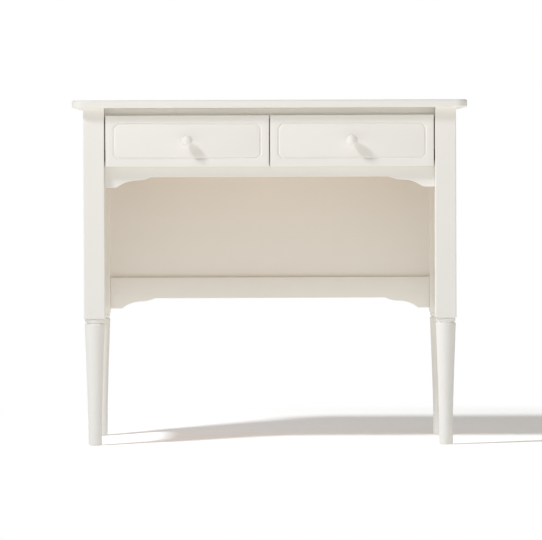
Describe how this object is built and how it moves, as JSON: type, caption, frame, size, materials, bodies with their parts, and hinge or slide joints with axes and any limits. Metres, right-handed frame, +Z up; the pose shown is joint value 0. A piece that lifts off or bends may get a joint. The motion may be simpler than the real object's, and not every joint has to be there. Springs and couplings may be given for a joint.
{
  "type": "writing desk",
  "caption": "Painted writing desk with shallow drawers under the top, square posts on turned tapered feet, scalloped rails and a panelled back and sides.",
  "frame": {"origin": "on the floor, midway across the desk and midway between the front of the knobs and the back edge of the top", "axes": "+Z up, the drawers open towards -Y, +X to the right of someone who faces the drawers"},
  "size_m": [0.8, 0.4564, 0.7],
  "materials": {
    "white_paint": "satin warm white paint on hardwood",
    "bare_wood": "sanded and clear-sealed hardwood",
    "plywood": "clear-sealed birch plywood",
    "zinc_steel": "zinc-plated steel",
    "nylon": "moulded nylon"
  },
  "bodies": {
    "frame": {"top_board": "white_paint", "front_left_leg": "white_paint", "front_right_leg": "white_paint", "back_left_leg": "white_paint", "back_right_leg": "white_paint", "foot_glides": "nylon", "front_top_rail": "white_paint", "front_apron": "white_paint", "drawer_divider": "white_paint", "back_top_rail": "white_paint", "runner_rail": "bare_wood", "back_panel": "white_paint", "back_lower_rail": "white_paint", "left_top_rail": "white_paint", "right_top_rail": "white_paint", "left_panel": "white_paint", "right_panel": "white_paint", "left_lower_rail": "white_paint", "right_lower_rail": "white_paint", "left_runner": "bare_wood", "centre_runner": "bare_wood", "right_runner": "bare_wood", "left_guide": "bare_wood", "centre_guide": "bare_wood", "right_guide": "bare_wood", "left_kicker": "bare_wood", "centre_kicker": "bare_wood", "right_kicker": "bare_wood", "drawer_stops": "bare_wood", "top_screws": "zinc_steel", "guide_screws": "zinc_steel", "stop_screws": "zinc_steel"},
    "left_drawer": {"left_drawer_front": "white_paint", "left_drawer_box_front": "bare_wood", "left_drawer_outer_side": "bare_wood", "left_drawer_inner_side": "bare_wood", "left_drawer_back": "bare_wood", "left_drawer_bottom": "plywood", "left_knob": "white_paint", "left_knob_screw": "zinc_steel", "left_front_screws": "zinc_steel", "left_bottom_screws": "zinc_steel", "left_catch": "bare_wood", "left_catch_screw": "zinc_steel"},
    "right_drawer": {"right_drawer_front": "white_paint", "right_drawer_box_front": "bare_wood", "right_drawer_outer_side": "bare_wood", "right_drawer_inner_side": "bare_wood", "right_drawer_back": "bare_wood", "right_drawer_bottom": "plywood", "right_knob": "white_paint", "right_knob_screw": "zinc_steel", "right_front_screws": "zinc_steel", "right_bottom_screws": "zinc_steel", "right_catch": "bare_wood", "right_catch_screw": "zinc_steel"}
  },
  "joints": [
    {"name": "left_drawer_slide", "type": "slide", "parent": "frame", "child": "left_drawer", "axis": [0, -1, 0], "range_m": [0, 0.2597]},
    {"name": "right_drawer_slide", "type": "slide", "parent": "frame", "child": "right_drawer", "axis": [0, -1, 0], "range_m": [0, 0.2597]}
  ]
}
